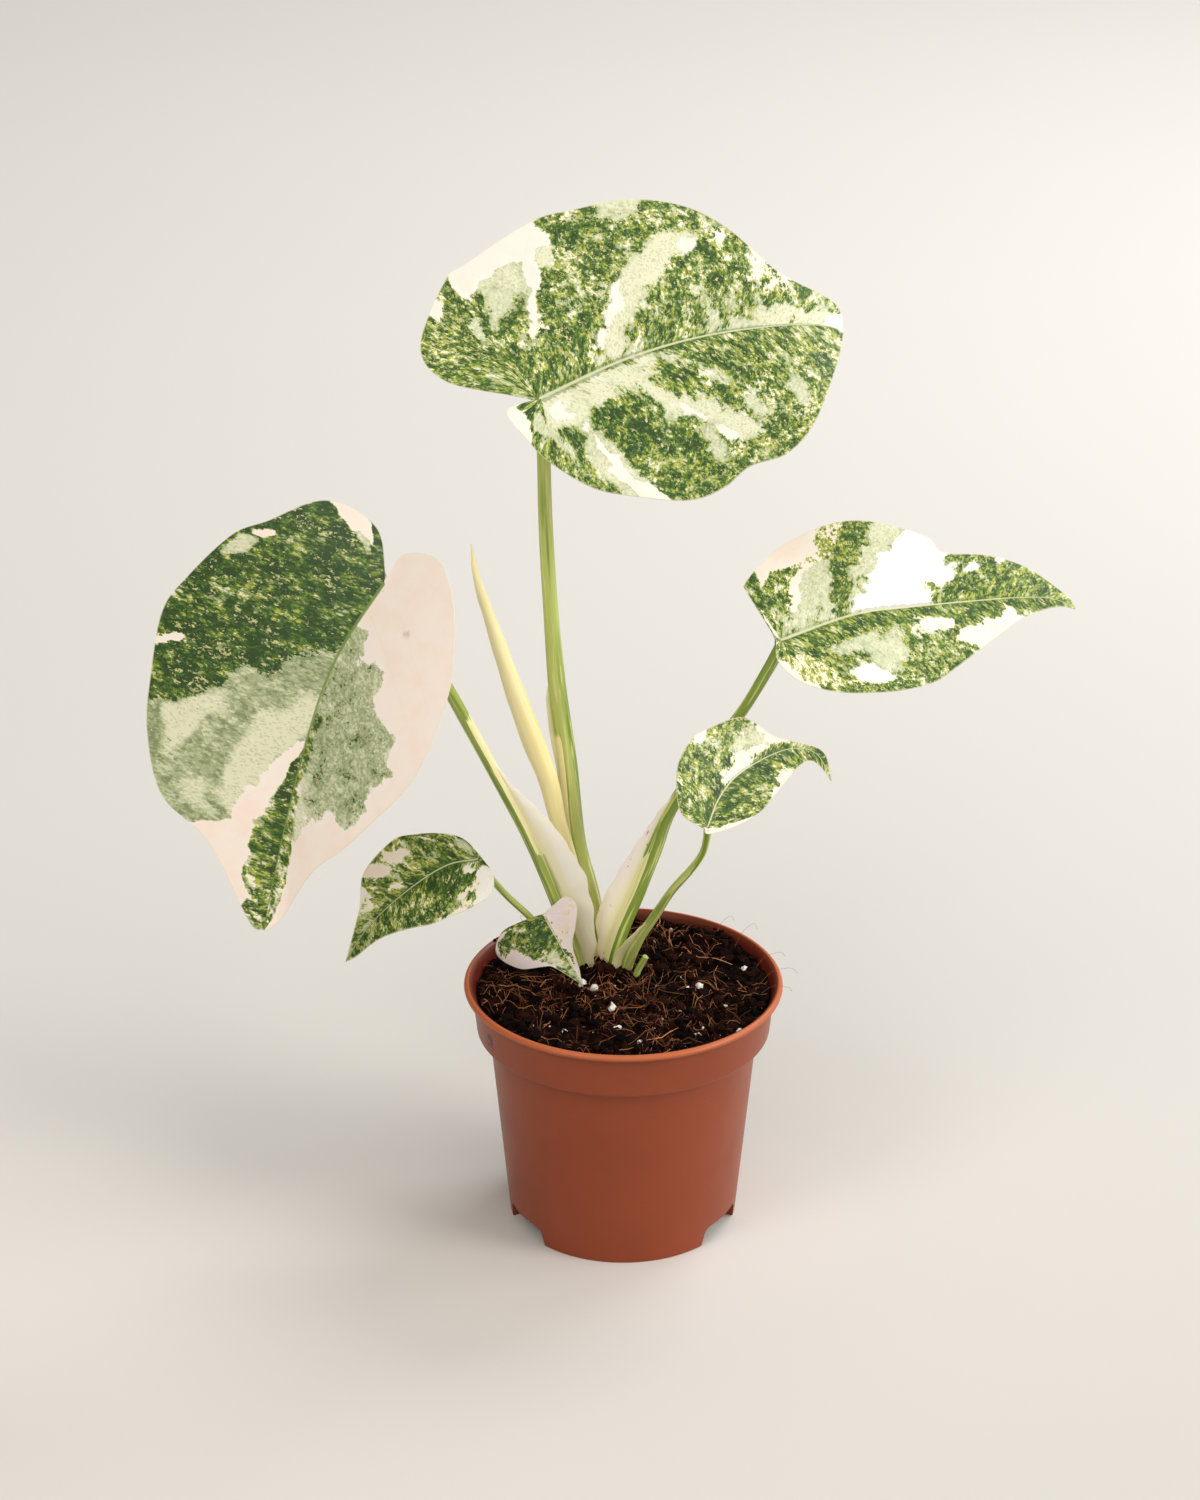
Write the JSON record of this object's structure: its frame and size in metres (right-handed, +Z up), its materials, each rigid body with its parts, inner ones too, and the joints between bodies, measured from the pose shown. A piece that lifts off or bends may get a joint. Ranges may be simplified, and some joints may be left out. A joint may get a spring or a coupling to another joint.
{
  "type": "potted monstera",
  "caption": "Young variegated monstera with heart-shaped green and cream leaves on slender stalks, growing in dark potting soil in a terracotta-coloured plastic nursery pot.",
  "frame": {"origin": "on the surface that the pot stands on, under the middle of the plant's bounding box; the pot's axis is 13 mm nearer the front (-Y)", "axes": "+Z up along the pot's axis, -Y towards the side that the large leaves face"},
  "size_m": [0.344, 0.1463, 0.3751],
  "materials": {
    "pot_plastic": "satin injection-moulded terracotta-coloured plastic",
    "soil": "rough dark peat and coir fibre",
    "stalk_green": "smooth waxy green plant tissue with cream sheaths",
    "new_leaf_cream": "smooth waxy cream-yellow plant tissue",
    "leaf_variegated": "satin green leaf marbled with cream"
  },
  "bodies": {
    "root": {"pot": "pot_plastic", "soil": "soil", "stem_top": "stalk_green", "stem_left": "stalk_green", "stem_right": "stalk_green", "stem_small_right": "stalk_green", "stem_small_left": "stalk_green", "stem_front": "stalk_green", "new_leaf": "new_leaf_cream", "cut_stub": "stalk_green", "leaf_top": "leaf_variegated", "leaf_left": "leaf_variegated", "leaf_right": "leaf_variegated", "leaf_small_right": "leaf_variegated", "leaf_small_left": "leaf_variegated", "leaf_front": "leaf_variegated"}
  },
  "joints": []
}
